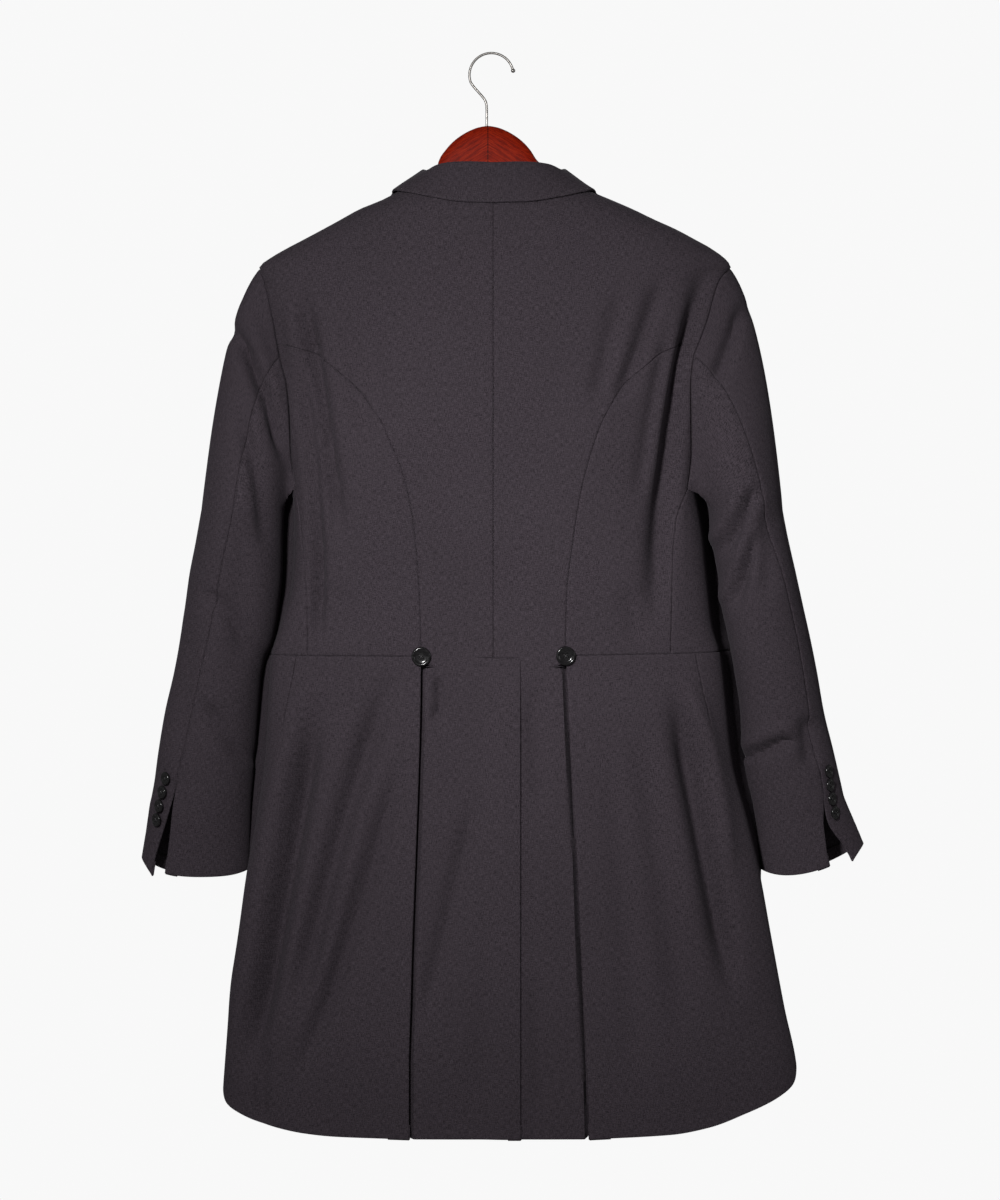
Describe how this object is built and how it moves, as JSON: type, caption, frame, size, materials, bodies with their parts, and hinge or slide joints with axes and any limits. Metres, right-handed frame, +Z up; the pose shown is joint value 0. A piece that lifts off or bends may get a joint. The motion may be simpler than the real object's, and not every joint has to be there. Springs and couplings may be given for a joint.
{
  "type": "morning coat on a hanger",
  "caption": "Wool morning coat with cutaway tails, hook vent, side pleats and buttoned cuffs, hung on a wooden hanger with a wire hook.",
  "frame": {"origin": "the point inside the hook's arc that rests on the rail", "axes": "+Z up; the coat's back faces -Y and its open front +Y; +X is the wearer's right, so the arms hang along -Z on both sides"},
  "size_m": [0.7628, 0.1618, 1.1349],
  "materials": {
    "wool": "dark plum-charcoal worsted wool, matt, fine plain weave with a soft nap",
    "horn": "polished black horn",
    "varnished_wood": "red-brown beech under gloss varnish",
    "steel_wire": "bright plated wire"
  },
  "bodies": {
    "root": {"back_left": "wool", "back_right": "wool", "side_body_left": "wool", "side_body_right": "wool", "forepart_left": "wool", "forepart_right": "wool", "lapel_left": "wool", "lapel_right": "wool", "skirt_left": "wool", "skirt_right": "wool", "top_sleeve_left": "wool", "top_sleeve_right": "wool", "under_sleeve_left": "wool", "under_sleeve_right": "wool", "collar": "wool", "waist_button_left": "horn", "waist_button_right": "horn", "front_button": "horn", "cuff_button_left_1": "horn", "cuff_button_left_2": "horn", "cuff_button_left_3": "horn", "cuff_button_left_4": "horn", "cuff_button_right_1": "horn", "cuff_button_right_2": "horn", "cuff_button_right_3": "horn", "cuff_button_right_4": "horn", "hanger": "varnished_wood", "hook": "steel_wire"}
  },
  "joints": []
}
